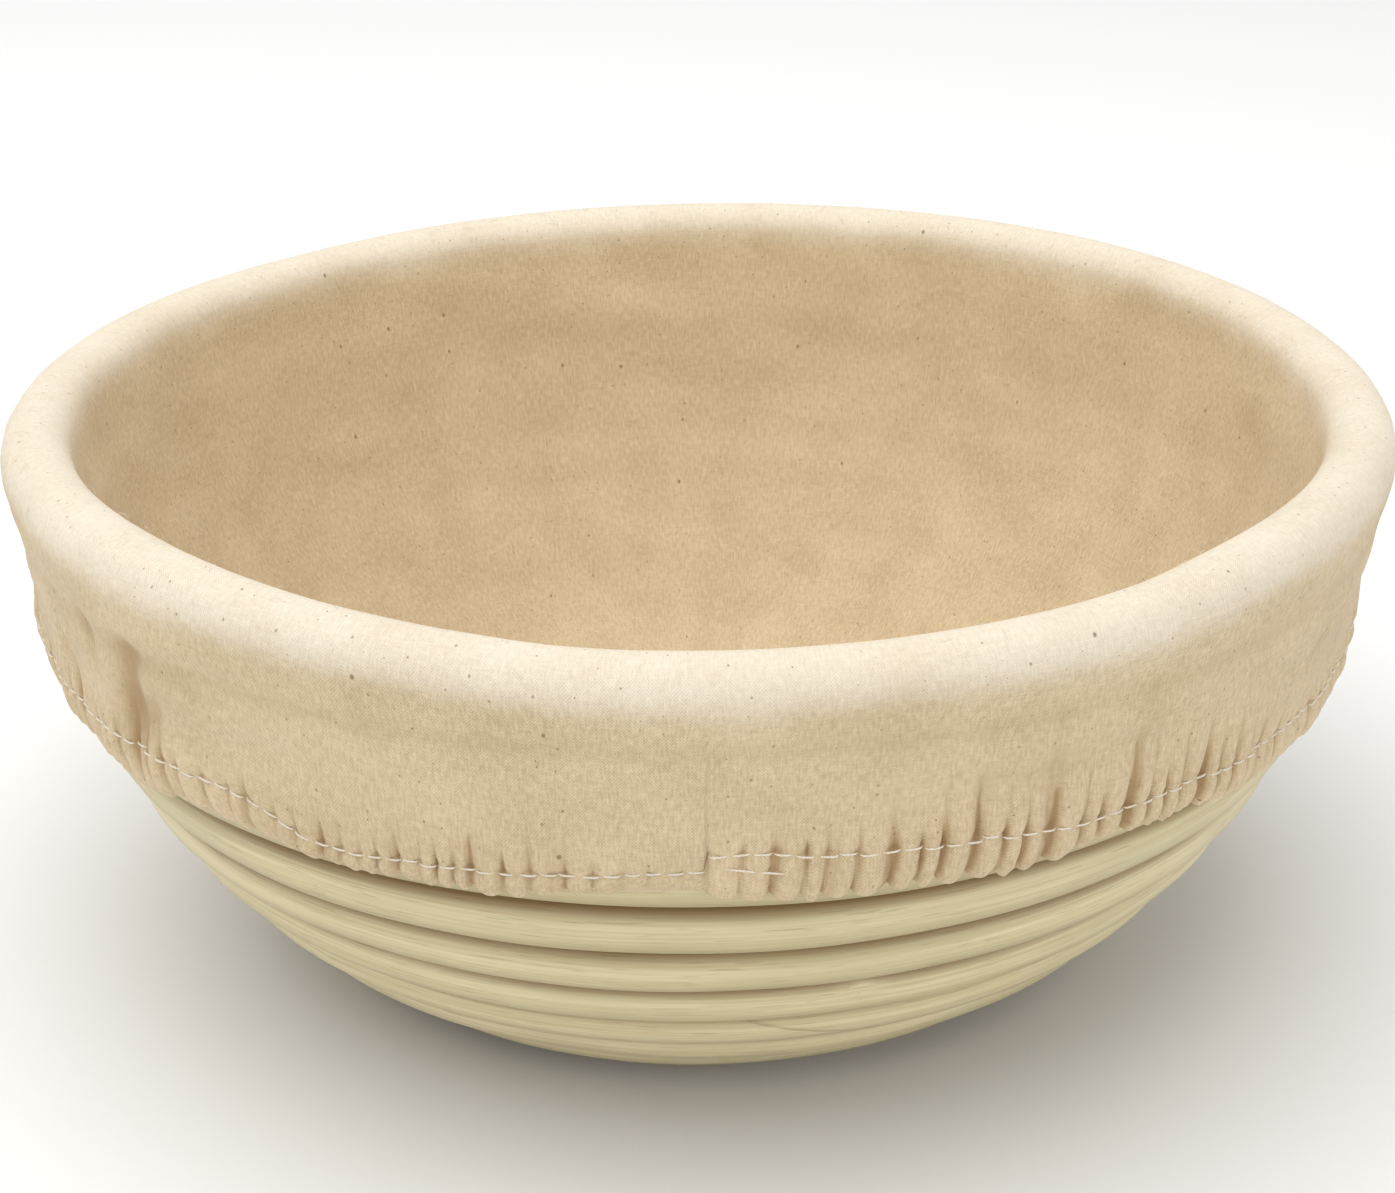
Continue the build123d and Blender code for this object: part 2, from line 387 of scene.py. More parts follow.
def cane_finish():
    """Peeled rattan core: long fibres, fine dark pores, painted shade on the lower side of each turn, and
    painted shade with dirt where two turns meet.
    """
    cane = Finish("rattan_cane")
    place = cane.mark("grain", "Vector")
    groove_shade_and_dirt = cane.mark("groove_shade_and_dirt")
    fibres = cane.grain(place, (28, 2300, 2300), 3, 0.6)
    streaks = cane.grain(place, (9, 620, 620), 2)
    patches = cane.grain(place, (22, 90, 90), 2)
    pores = cane.grain(place, (120, 3600, 3600), 1).ease(0.655, 0.72)
    tone = cane.mix((fibres * 0.5 + streaks * 0.5).ease(0.30, 0.70), (0.62, 0.525, 0.30), (0.86, 0.77, 0.51))
    tone = cane.mix(patches.ease(0.45, 0.7) * 0.4, tone, (0.56, 0.515, 0.30))
    # Painted shade: the lower side of each turn is darkened.
    lower = (cane.apart(place).output(2) * (-0.1 / MM) + streaks * 0.5).ease(-0.15, 0.75)
    tone = cane.mix(lower * 0.85, tone, (0.34, 0.275, 0.14))
    tone = cane.mix(pores * 0.3, tone, (0.30, 0.20, 0.09))
    # Painted shade and dirt: dark brown in the groove where two turns meet.
    tone = cane.mix((groove_shade_and_dirt + (streaks - 0.5) * 0.16).ease(0.62, 0.94) * 0.88, tone, (0.24, 0.135, 0.04))
    return cane.done(
        Base_Color=tone,
        Roughness=0.36 + fibres * 0.25,
        Specular_IOR_Level=0.4,
        Normal=cane.relief(fibres * 0.6 + streaks * 0.4 - pores * 0.5, 0.11 * MM, 0.55),
    )


def thread_finish():
    """Cream sewing thread."""
    thread = Finish("sewing_thread")
    place = thread.node("ShaderNodeTexCoord", output="Object")
    plies = thread.grain(place, (5200, 5200, 5200), 2)
    tone = thread.mix(plies.ease(0.3, 0.7), (0.70, 0.63, 0.50), (0.90, 0.85, 0.74))
    return thread.done(
        Base_Color=tone,
        Roughness=0.7,
        Sheen_Weight=0.2,
        Normal=thread.relief(plies, 0.05 * MM),
    )


RIB_PITCH = 0.9 * MM
YARN_PITCH = 1.1 * MM


def elastic_finish():
    """Braided white elastic: ribs along it, slanting yarns between them, and painted shade between the ribs.
    """
    band = Finish("braided_elastic")
    along = band.apart(band.mark("cloth", "Vector"))
    across = along.output(1)
    ribs = abs((across * (math.pi / RIB_PITCH)).wave())
    yarns = (along * (TURN / YARN_PITCH) + across * (TURN / RIB_PITCH)).wave()
    # Painted shade: the tone is darker between the ribs, where the braid is lower.
    tone = band.mix((ribs * 0.7 + yarns * 0.2).ease(0.0, 0.8), (0.62, 0.60, 0.55), (0.88, 0.87, 0.83))
    return band.done(Base_Color=tone, Roughness=0.75, Normal=band.relief(ribs + yarns * 0.4, 0.15 * MM))


def steel_finish():
    """Drawn steel wire."""
    steel = Finish("drawn_steel_wire")
    place = steel.node("ShaderNodeTexCoord", output="Object")
    draw_lines = steel.grain(place, (3000, 3000, 300), 2)
    tone = steel.mix(draw_lines, (0.42, 0.42, 0.41), (0.62, 0.62, 0.60))
    return steel.done(Base_Color=tone, Metallic=1.0, Roughness=0.3 + draw_lines * 0.2)


# ---------------------------------------------------------------- the coil of cane

RING_SPACING = 2.5 * MM
CANE_SIDES = 28
FIRST_TURN = -8.5 / 12
CANE_HALF_HEIGHT = 5.52 * MM
CANE_HALF_DEPTH = 5.4 * MM
# The pared tail at the rim: how far its top may stand over the rim, and half of its least thickness.
TAIL_OVER_RIM = 0.3 * MM
TAIL_HALF_THIN = 0.35 * MM
# Where two lengths meet: half of the slanted cut's length, the gap in it, and how far off the cane changes.
SCARF_HALF = 20 * MM
SCARF_GAP = 0.03 * MM
SCARF_LEAD = 45 * MM
# How uneven the cane is, as (share or distance, longest wave).
UNEVEN_THICKNESS = (0.012, 260 * MM)
UNEVEN_OUT = (0.15 * MM, 150 * MM)
UNEVEN_DOWN = (0.05 * MM, 190 * MM)
# Dents, as (turns down, distance above the cane's middle, length, depth).
DENTS = (
    (4.092, 1.0 * MM, 2.6 * MM, 0.5 * MM),
    (5.064, -0.4 * MM, 2.0 * MM, 0.45 * MM),
    (5.958, 4.0 * MM, 2.4 * MM, 0.7 * MM),
    (3.55, 1.4 * MM, 3.0 * MM, 0.4 * MM),
    (6.38, -1.8 * MM, 2.2 * MM, 0.4 * MM),
    (7.27, 0.6 * MM, 2.8 * MM, 0.4 * MM),
)


def cane_piece(node, first, last, finish, seed):
    """One length of the coil, between two places counted in turns down from the front of the rim."""
    turns = [first]
    while turns[-1] < last:
        turns.append(turns[-1] + RING_SPACING / (TURN * float(wall(turns[-1] * PITCH)[0])))
    turns = first + (np.array(turns) - first) * (last - first) / (turns[-1] - first)
    around = TURN * np.arange(CANE_SIDES) / CANE_SIDES
    steps = np.diff(turns) * TURN * wall((turns[1:] + turns[:-1]) / 2 * PITCH)[0]
    along = np.concatenate([[0], np.cumsum(steps)])
    length = along[-1]

    # The pared tail at the rim: its top is cut down towards the end.
    height = wall(turns * PITCH)[1]
    angle = FRONT - TURN * turns
    pared = RIM_HEIGHT + CANE + TAIL_OVER_RIM + PITCH / 4 * np.cos(angle)
    top = np.minimum(CANE_HALF_HEIGHT, (pared - height) / math.cos(RIM_LEAN))
    top = np.where(turns < 0, top, CANE_HALF_HEIGHT)
    half = np.maximum((top + CANE_HALF_HEIGHT) / 2, TAIL_HALF_THIN)
    middle = half - CANE_HALF_HEIGHT
    slim = np.sqrt(np.clip(1 - (1 - half / CANE_HALF_HEIGHT) ** 2, 0.1, 1)) ** 0.7

    steady = np.clip(np.minimum(along, length - along) / SCARF_LEAD - 0.6, 0, 1)
    swell, stray, drop = (
        most * steady * ripple(along, seed + own_seed, wave)
        for own_seed, (most, wave) in ((0, UNEVEN_THICKNESS), (50, UNEVEN_OUT), (90, UNEVEN_DOWN))
    )
    out = (CANE_HALF_DEPTH * slim * (1 + swell))[:, None] * np.cos(around) + stray[:, None]
    up = (half * (1 + swell))[:, None] * np.sin(around) + (middle + drop)[:, None]

    # Both ends are cut on the slant, so that one length lies on the next.
    near_end = np.clip(1 - (length - along) / SCARF_LEAD, 0, 1)
    near_start = np.clip(1 - along / SCARF_LEAD, 0, 1) if first > 0 else 0 * along
    shear = (near_end + near_start) ** 1.5
    shift = SCARF_HALF * shear[:, None] * np.clip(up / CANE_HALF_HEIGHT, -1, 1)
    gap = SCARF_GAP / 2 * (near_start - near_end)
    radius = wall(turns * PITCH)[0]
    place = turns[:, None] + (shift + gap[:, None]) / (TURN * radius)[:, None]
    for turn, above, size, depth in DENTS:
        far = ((place - turn) * TURN * radius[:, None] / size) ** 2 + ((up - above) / (size * 0.6)) ** 2
        out -= depth * np.exp(-far) * (out > 0)

    lean = leaning(place * PITCH)
    r, z = wall(place * PITCH)
    r = r + out * np.cos(lean) + up * np.sin(lean)
    z = np.maximum(z - out * np.sin(lean) + up * np.cos(lean), 0)
    turned = FRONT - TURN * place
    points = np.stack([r * np.cos(turned), r * np.sin(turned), z], -1)
    rings = len(turns)
    faces = ring_faces(rings, CANE_SIDES)
    faces.append(list(range(CANE_SIDES))[::-1])
    faces.append(list(range((rings - 1) * CANE_SIDES, rings * CANE_SIDES)))
    mesh = new_mesh(f"{node}_turns", points, faces)
    cut_ends = [False] * 2
    mesh.polygons.foreach_set("use_smooth", [True] * (len(faces) - 2) + cut_ends)
    where = np.broadcast_to(along[:, None] + shift + seed, out.shape)
    # Where the painted groove shade and dirt go: towards the edges where two turns meet, but not on the rim
    # turn's open top.
    covered = np.clip((turns[:, None] - 1 - FIRST_TURN) / 0.02, 0, 1) * np.ones_like(up)
    groove_shade_and_dirt_mask = np.where(up > 0, covered, 1.0) * np.abs(up) / CANE_HALF_HEIGHT
    point_mark(mesh, "grain", np.stack([where, out, up], -1).reshape(-1, 3))
    point_mark(mesh, "groove_shade_and_dirt", groove_shade_and_dirt_mask.ravel())
    return new_piece(mesh, finish, "basket", "cane", node)


calico = calico_finish()
rattan = cane_finish()
sewing_thread = thread_finish()
braided_elastic = elastic_finish()

canes = [
    cane_piece(node, first / 12, last / 12, rattan, seed)
    for seed, (node, first, last) in enumerate(
        (
            ("rim_cane", 12 * FIRST_TURN, 27.5),
            ("upper_wall_cane", 27.5, 54.5),
            ("middle_wall_cane", 54.5, 83.5),
            ("lower_wall_cane", 83.5, 115.5),
            ("base_cane", 115.5, 177.0),
        ),
        start=1,
    )
]
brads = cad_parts["cane_brads"]
brads.data.materials.clear()
brads.data.materials.append(steel_finish())

# ---------------------------------------------------------------- the liner's band

INSIDE_COLUMNS = 480
COLUMNS = 3 * INSIDE_COLUMNS
ROLL = 6.05 * MM
ROLL_OUT = -0.1 * MM


def hollow_at(angle, down):
    """0 on the crown of a turn of cane and 1 in the groove between two turns."""
    spiral = (FRONT - angle) / TURN
    return 0.5 - 0.5 * np.cos(TURN * (down / PITCH - spiral))


def round_rim(angle, pairs, blur, closed=False):
    """A value at each angle, from (degrees, value) pairs once round from the seam, with soft corners."""
    degrees, values = zip(*pairs)
    found = np.interp(np.degrees(angle), degrees, values)
    reach = np.arange(-3 * blur, 3 * blur + 1)
    weights = np.exp(-0.5 * (reach / blur) ** 2)
    padded = np.pad(found, 3 * blur, "wrap" if closed else "edge")
    return np.convolve(padded, weights / weights.sum(), "valid")


angles = SEAM + TURN * np.arange(COLUMNS) / COLUMNS
crest_rise = MM * round_rim(
    angles,
    (
        (-89.3, 0.65), (-67, 1.4), (-62, 1.8), (-56, 1.9), (-52, 2.6), (-47, 3.8), (-38, 4.2), (-20, 3.6),
        (0, 3.0), (45, 2.6), (90, 1.0), (135, -0.5), (160, 0.3), (180, 1.2), (200, 2.6), (215, 3.4),
        (222, 3.5), (231, 3.0), (237, 2.55), (242, 2.1), (247, 1.8), (252, 1.4), (260, 0.55), (270.7, 0.65),
    ),
    12,
    True,
)
stitch_line = MM * round_rim(
    angles,
    (
        (-89.3, 24.0), (-86, 22.7), (-79, 24.1), (-76, 23.8), (-72, 23.3), (-67, 24.4), (-62, 25.5),
        (-52, 25.3), (-42, 26.2), (-34, 27.4), (-24, 26.6), (5, 25.6), (30, 24.6), (55, 25.5), (80, 24.7),
        (105, 25.4), (130, 24.5), (155, 25.3), (180, 24.6), (205, 24.9), (224, 24.3), (230, 24.5),
        (234, 25.6), (240, 30.2), (244, 30.3), (250, 29.2), (257, 28.3), (264.5, 28.1), (270.7, 26.9),
    ),
    5,
)
hem_line = MM * round_rim(
    angles,
    (
        (-89.3, 31.4), (-86, 31.9), (-79, 32.5), (-76, 31.8), (-73, 31.1), (-68, 32.3), (-64, 32.1),
        (-58.5, 29.7), (-53, 31.1), (-48, 31.4), (-43, 33.4), (-33, 35.0), (-22, 34.0), (-8, 32.6),
        (15, 33), (40, 32.1), (70, 32.9), (100, 32.2), (125, 33), (150, 32.3), (180, 32.9), (205, 32.6),
        (220, 34.0), (227, 31.5), (236, 32.8), (243, 33.9), (249, 33.2), (256, 33.0), (263, 30.9),
        (270.7, 30.1),
    ),
    4,
)
fullness = round_rim(
    angles,
    (
        (-89.3, 0.35), (-87, 0.7), (-84, 1.1), (-60, 1.15), (-46, 1.05), (-36, 0.55), (-18, 0.6), (0, 0.8),
        (60, 1.0), (120, 0.85), (180, 0.95), (220, 0.7), (232, 0.6), (243, 0.9), (249, 0.75), (258, 1.0),
        (262, 0.45), (270.7, 0.3),
    ),
    6,
)
pleat_reach = round_rim(
    angles,
    (
        (-89.3, 0.5), (-80, 0.7), (-70, 1.0), (-50, 1.6), (-42, 1.1), (-35, 0.6), (0, 0.9), (90, 1.3),
        (180, 1.2), (225, 0.9), (243, 0.8), (258, 1.1), (270.7, 0.5),
    ),
    12,
)


class Pleats:
    """Uneven pleats round a hem: each is a rounded pillow between two narrow valleys."""

    def __init__(self, count, seed, uneven):
        draw = np.random.default_rng(seed)
        widths = draw.uniform(1 - uneven, 1 + uneven, count)
        self.edges = np.concatenate([[0], np.cumsum(widths)]) / widths.sum() * TURN
        self.heights = draw.uniform(0.55, 1.0, count)
        self.reaches = draw.uniform(0.5, 1.5, count)
        self.count = count

    def find(self, angle):
        """The pillow's swell, 0 in a valley and 1 on top, and that pleat's own height and reach."""
        phase = np.interp((angle - SEAM) % TURN, self.edges, np.arange(self.count + 1))
        which = np.clip(phase.astype(int), 0, self.count - 1)
        swell = np.abs(np.sin(math.pi * phase)) ** 0.62
        return swell, self.heights[which], self.reaches[which]


fine_pleats = Pleats(178, 21, 0.36)
broad_pleats = Pleats(61, 22, 0.45)
base_pleats = Pleats(40, 23, 0.4)
hem_swell, hem_height, _ = fine_pleats.find(angles + 0.35 * (hem_line - stitch_line))
hem_line = hem_line - 1.5 * MM * fullness * hem_height * (1 - hem_swell) ** 1.2

# The cloth bulges this much round a crease, for the crease's depth, and this far out, for its width.
BULGE = 0.55
BULGE_WIDTH = 4.2
# Creases, as (degrees, distance down) of both ends, width, depth. Distances are in millimetres.
CREASES = (
    (-136.3, 7.5, -137.6, 25.0, 3.6, 2.3),
    (-132.0, 8.7, -124.0, 10.5, 0.8, 0.6),
    (-133.2, 11.5, -135.6, 22.0, 2.2, 0.9),
    (-143.5, 5.0, -141.5, 15.0, 2.2, 1.1),
    (-150.0, 12.0, -147.0, 22.0, 1.4, 1.0),
    (-30.0, 9.0, -36.0, 20.0, 1.4, 0.9),
    (-12.0, 12.0, -8.0, 22.0, 1.2, 0.9),
    (18.0, 7.0, 26.0, 13.0, 1.3, 0.6),
    (47.0, 10.0, 44.0, 22.0, 1.3, 1.0),
    (83.0, 8.0, 90.0, 16.0, 1.2, 0.7),
    (121.0, 9.0, 118.0, 21.0, 1.4, 1.0),
    (150.0, 8.0, 157.0, 12.0, 0.9, 0.6),
    (176.0, 11.0, 172.0, 22.0, 1.3, 0.9),
)


def crease(angle, down, line):
    """How much one crease lifts the cloth round it and sinks it along its line, and how much painted fold
    shade lies along it.
    """
    from_degrees, from_down, to_degrees, to_down, width, depth = line
    start = np.array([math.radians(from_degrees) * RIM_RADIUS, from_down * MM])
    run = np.array([math.radians(to_degrees) * RIM_RADIUS, to_down * MM]) - start
    turned = (angle - math.radians(from_degrees) + math.pi) % TURN - math.pi + math.radians(from_degrees)
    x = turned * RIM_RADIUS - start[0]
    y = down - start[1]
    share = (x * run[0] + y * run[1]) / (run @ run)
    held = np.clip(share, 0, 1)
    far = np.hypot(x - held * run[0], y - held * run[1])
    fade = 0.35 + 0.65 * np.sin(math.pi * np.clip(held, 0.04, 0.96)) ** 0.5
    lifted = BULGE * near(far, BULGE_WIDTH * width * MM)
    sunk = near(far, width * MM) * fade
    return depth * MM * (lifted - sunk), sunk * depth


SKIRT_OFF_CANE = 0.58 * MM
CLOTH_LEAST_OFF = 0.34 * MM
CASING_THICKER = 0.38 * MM
CASING_PLUMP = 0.6 * MM
STITCH_PINCH = 0.35 * MM
SOFT_FOLDS = 0.16 * MM
# How far the skirt sinks between any two turns, and how much further between the first two.
SAG = 0.25 * MM
FIRST_SAG = 0.80 * MM
# The skirt's pleats, as (pleats, height, reach above the stitches, slant, how much painted shade their
# valleys get).
SKIRT_PLEATS = ((fine_pleats, 2.1, 4.6, 0.35, 1.6), (broad_pleats, 1.0, 11.0, 0.6, 0.7))


def skirt_shape(angle, down, columns=slice(None)):
    """How far out the skirt stands and how much painted fold shade it gets, at angles and distances down."""
    rise, line, hem = crest_rise[columns], stitch_line[columns], hem_line[columns]
    full, reach = fullness[columns], pleat_reach[columns]
    hollow = hollow_at(angle, down)
    sag = hollow * (SAG + FIRST_SAG * near(down - 5 * MM, 7 * MM))
    plain = CANE + SKIRT_OFF_CANE - sag
    on_roll = near(down + rise, 3.6 * MM)
    out = plain + (ROLL_OUT + ROLL - plain) * on_roll
    # Painted shade: in the hollow between the first turns below the roll, then in the pleat valleys and
    # along the creases.
    fold_shade = 0.34 * hollow * near(down - 6 * MM, 8 * MM) * (1 - on_roll)

    above = np.maximum(line - down, 0)
    below = np.clip((down - line) / (hem - line), 0, 1)
    in_casing = (below > 0) * (below < 1)
    out = out + 0.15 * MM * near(above, 8 * MM) + CASING_PLUMP * np.sin(math.pi * below) * in_casing
    for pleats, tall, longest, tilt, dark in SKIRT_PLEATS:
        swell, height, own_reach = pleats.find(angle + tilt * (down - line))
        strength = np.exp(-((above / (longest * MM * reach * own_reach)) ** 1.4)) * (1 - 0.2 * below)
        out = out + tall * MM * full * height * strength * swell
        fold_shade = fold_shade + full * height * strength * np.clip(1 - swell, 0, 1) ** 1.5 * dark
    out = out - STITCH_PINCH * near(down - line, 0.7 * MM)
    for one_crease in CREASES:
        moved, depth = crease(angle, down, one_crease)
        out = out + moved
        fold_shade = fold_shade + 0.34 * depth
    soft = SOFT_FOLDS * (ring_ripple(angle, 5, (7, 11, 17, 23)) + ripple(down + 0.02 * angle, 6, 22 * MM))
    out = out + soft * (1 - on_roll)
    lowest = CANE + CLOTH_LEAST_OFF + CASING_THICKER * (below > 0)
    spare = out - lowest
    return lowest + 0.5 * (spare + np.sqrt(spare**2 + (0.25 * MM) ** 2)), fold_shade


# From the base seam up the inside of the bowl.
INSIDE_UP = 59
INSIDE_OFF_CANE = 0.50 * MM
INSIDE_SAG = 0.14 * MM
OVER_HEEL = 1.5 * MM
BASE_TUCKS = 2.0 * MM
BAND_FOOT = FLAT + 0.6 * MM
inside = angles[::3]
inside_rise = crest_rise[::3]
inner_rows = []
for share in np.linspace(0, 1, INSIDE_UP):
    down = BAND_FOOT * (1 - share) - inside_rise * share
    height = BAND_FOOT - down
    out = -(CANE + INSIDE_OFF_CANE) + INSIDE_SAG * hollow_at(inside, down)
    out = out - OVER_HEEL * near(down - 103 * MM, 9 * MM)
    swell, tall, reach = base_pleats.find(inside + 0.5 * height)
    gathered = np.exp(-((height / (24 * MM * reach)) ** 1.2))
    out = out - BASE_TUCKS * tall * gathered * swell * np.minimum(height / (2 * MM), 1)
    loose = np.clip(ripple(down + 0.03 * inside, 8, 60 * MM) * ring_ripple(inside, 9, (3, 5, 8, 13)), 0, 1)
    drape = np.clip(ring_ripple(inside + 0.8 * down, 10, (11, 17, 26)) + 0.1, 0, 1)
    drape = drape * near(down - 42 * MM, 34 * MM)
    away = np.clip(np.minimum(height, down + 8 * MM) / (12 * MM), 0, 1)
    out = out - (1.1 * loose + 1.3 * drape) * MM * away
    on_roll = near(down + inside_rise, 4 * MM)
    out = out * (1 - on_roll) + (ROLL_OUT - ROLL) * on_roll
    # Painted shade in the valleys of the base tucks and along the base seam.
    fold_shade = 0.35 * gathered * tall * (1 - swell) ** 1.5 + 0.25 * near(height, 1.2 * MM)
    sunk = 0.5 * MM * near(height, 0.9 * MM)
    inner_rows.append((down, out + sunk, fold_shade))
for turned in np.radians((-82, -73, -64)):
    down = -inside_rise - ROLL * math.cos(turned)
    inner_rows.append((down, ROLL_OUT + ROLL * math.sin(turned) + 0 * inside, 0 * inside))

# Over the roll at the rim, down the outside to the stitch line, round the casing and back up behind it.
EDGE_TURN = 0.8 * MM
outer_rows = []
for turned in np.radians((-54, -36, -18, 0, 18, 36, 54, 72)):
    swell = 0.05 * MM * ring_ripple(angles, 12, (19, 31, 44))
    outer_rows.append(
        (
            -crest_rise - (ROLL + swell) * math.cos(turned),
            ROLL_OUT + (ROLL + swell) * math.sin(turned),
            0 * angles,
        )
    )
for share in np.linspace(0, 1, 23) ** 0.9:
    down = -crest_rise * (1 - share) + stitch_line * share
    outer_rows.append((down, *skirt_shape(angles, down)))
for share in (0.10, 0.22, 0.36, 0.50, 0.64, 0.78, 0.9):
    down = stitch_line + (hem_line - EDGE_TURN - stitch_line) * share
    outer_rows.append((down, *skirt_shape(angles, down)))
# The last rows, which the casing hides.
BEHIND_CASING = 9
behind = CANE + 0.22 * MM
edge_down = hem_line - 0.7 * MM
edge_out, edge_fold_shade = skirt_shape(angles, hem_line - EDGE_TURN)
half_fold = (edge_out - 0.35 * MM - behind) / 2
# The painted fold shade goes on round the turned edge, and stays at half behind the casing.
for turned in np.radians((0, 45, 90, 135, 180)):
    outer_rows.append(
        (
            edge_down + 0.9 * MM * math.sin(turned) + 0.3 * half_fold * math.sin(turned),
            behind + half_fold * (1 + math.cos(turned)),
            edge_fold_shade * (0.6 + 0.4 * math.cos(turned)),
        )
    )
for share in (0.35, 0.7, 1.0):
    outer_rows.append((edge_down + (stitch_line - edge_down) * share, behind + 0 * angles, 0.5 + 0 * angles))


def grid(rows, angle):
    """Points, painted fold shade and positions up the cloth of a grid of rows."""
    down, out, fold_shade = (np.array([row[k] for row in rows]) for k in range(3))
    points = on_wall(angle[None, :], down, out)
    steps = np.linalg.norm(np.diff(points, axis=0), axis=2).mean(1)
    return points, fold_shade, np.concatenate([[0], np.cumsum(steps)])


inner_points, inner_fold_shade, inner_up = grid(inner_rows, inside)
outer_points, outer_fold_shade, outer_up = grid(outer_rows, angles)
join = float(np.linalg.norm(outer_points[0, ::3] - inner_points[-1], axis=1).mean())
outer_up = inner_up[-1] + join + outer_up
last_inside = (len(inner_rows) - 1) * INSIDE_COLUMNS
first_outside = len(inner_rows) * INSIDE_COLUMNS
band_faces = ring_faces(len(inner_rows), INSIDE_COLUMNS)
for k in range(INSIDE_COLUMNS):
    here = last_inside + k
    beside = last_inside + (k + 1) % INSIDE_COLUMNS
    fine = [first_outside + (3 * k + step) % COLUMNS for step in range(4)]
    band_faces.append([here, beside, fine[2], fine[1]])
    band_faces.append([here, fine[1], fine[0]])
    band_faces.append([beside, fine[3], fine[2]])
band_faces += ring_faces(len(outer_rows), COLUMNS, first_outside)
band_faces = [face[::-1] for face in band_faces]
band_mesh = new_mesh(
    "liner_band", np.concatenate([inner_points.reshape(-1, 3), outer_points.reshape(-1, 3)]), band_faces
)
lay_weave(
    band_mesh,
    np.concatenate(
        [
            np.tile((inside - SEAM) * RIM_RADIUS, len(inner_rows)),
            np.tile((angles - SEAM) * RIM_RADIUS, len(outer_rows)),
        ]
    ),
    np.concatenate([np.repeat(inner_up, INSIDE_COLUMNS), np.repeat(outer_up, COLUMNS)]),
    TURN * RIM_RADIUS,
)
# The painted fold shade, for the calico finish to read.
point_mark(band_mesh, "fold_shade", np.concatenate([inner_fold_shade.ravel(), outer_fold_shade.ravel()]))
outer_down = np.array([row[0] for row in outer_rows[:-BEHIND_CASING]] + [0 * angles + 1] * BEHIND_CASING)
inner_down = np.array([row[0] for row in inner_rows])
# Painted highlight: the cloth is painted paler over the rim roll, fading a few millimetres down each side.
crest_highlight_share = [
    near(np.maximum(down + rise + 4.5 * MM, 0), reach * MM)
    for down, rise, reach in ((inner_down, inside_rise, 7.0), (outer_down, crest_rise, 5.0))
]
point_mark(band_mesh, "painted_crest_highlight", np.concatenate([share.ravel() for share in crest_highlight_share]))
band = new_piece(band_mesh, calico, "liner", "calico", "liner_wall", "liner_skirt")

# ---------------------------------------------------------------- the base panel

PANEL_RINGS = 34
PANEL_SIDES = 192
PANEL_ON_CLOTH = 0.4
panel_angle = TURN * np.arange(PANEL_SIDES) / PANEL_SIDES
panel_points = [(0.0, 0.0, BASE_CLOTH_HEIGHT)]
panel_fold_shade = [0.0]
for share in np.linspace(0, 1, PANEL_RINGS + 1)[1:]:
    r = share**0.92 * BASE_CLOTH_RADIUS
    from_edge = BASE_CLOTH_RADIUS - r
    hollow = hollow_at(panel_angle, FLAT + from_edge)
    low = 0.18 * hollow * min(r / (25 * MM), 1) ** 2 + 0.9 * math.exp(-((from_edge / (0.9 * MM)) ** 2))
    wrinkle = 0.35 * ring_ripple(panel_angle, 31, (2, 3, 5)) * math.sin(math.pi * min(share * 1.1, 1))
    pucker = 0.3 * ring_ripple(panel_angle, 32, (34, 47, 58)) * math.exp(-((from_edge / (5 * MM)) ** 2))
    z = BASE_CLOTH_HEIGHT + MM * (np.abs(wrinkle) + pucker - low)
    panel_points += list(np.stack([r * np.cos(panel_angle), r * np.sin(panel_angle), z], -1))
    # Painted shade along the seam at the panel's edge and in the pucker hollows.
    panel_fold_shade += list(np.clip(0.25 * math.exp(-((from_edge / (1.2 * MM)) ** 2)) - pucker * 0.4, 0, 1))
panel_faces = [[0, 1 + k, 1 + (k + 1) % PANEL_SIDES] for k in range(PANEL_SIDES)]
panel_faces += [face[::-1] for face in ring_faces(PANEL_RINGS, PANEL_SIDES, 1)]
panel_mesh = new_mesh("liner_base_panel", panel_points, panel_faces)
panel_flat = np.array(panel_points)
lay_weave(panel_mesh, panel_flat[:, 0] + PANEL_ON_CLOTH, panel_flat[:, 1] + PANEL_ON_CLOTH)
point_mark(panel_mesh, "fold_shade", panel_fold_shade)
panel = new_piece(panel_mesh, calico, "liner", "calico", "liner_base")

# ---------------------------------------------------------------- thread and elastic

THREAD = 0.33 * MM
SIDE_THREAD = 0.2 * MM
HEM_STITCHES = 236
HEM_STITCH_HALF = 2.95
BASE_STITCHES = 112
hem_runs = []
stitch_draw = np.random.default_rng(41)
crest_out = skirt_shape(angles, stitch_line)[0]
for k in range(HEM_STITCHES):
    centre = COLUMNS * (k + 0.5) / HEM_STITCHES + stitch_draw.uniform(-0.3, 0.3)
    columns = centre + np.linspace(-HEM_STITCH_HALF, HEM_STITCH_HALF, 7) * stitch_draw.uniform(0.94, 1.04)
    nearby = np.arange(int(centre) - 3, int(centre) + 4) % COLUMNS
    ride_height = 0.72 * crest_out[nearby].max() + 0.28 * crest_out[nearby].mean() + 0.10 * MM
    turned = SEAM + TURN * columns / COLUMNS
    down = np.interp(columns, np.arange(COLUMNS), stitch_line) + stitch_draw.uniform(-0.12, 0.12) * MM
    dip = 0.42 * MM * np.abs(np.linspace(-1, 1, 7)) ** 4
    path = on_wall(turned, down, ride_height - dip)
    hem_runs.append((path, np.array([math.cos(turned[3]), math.sin(turned[3]), 0])))
loose_end = np.radians(np.linspace(-88.0, -83.6, 9))
path = on_wall(loose_end, np.linspace(25.0, 26.3, 9) * MM, crest_out[4:20].max() + 0.45 * MM)
hem_runs.append((path, np.array([0.0, -1.0, 0.0])))
hem_stitches = new_piece(
    thread_mesh("hem_stitches", hem_runs, THREAD), sewing_thread, "liner", "thread", "hem_stitching"
)

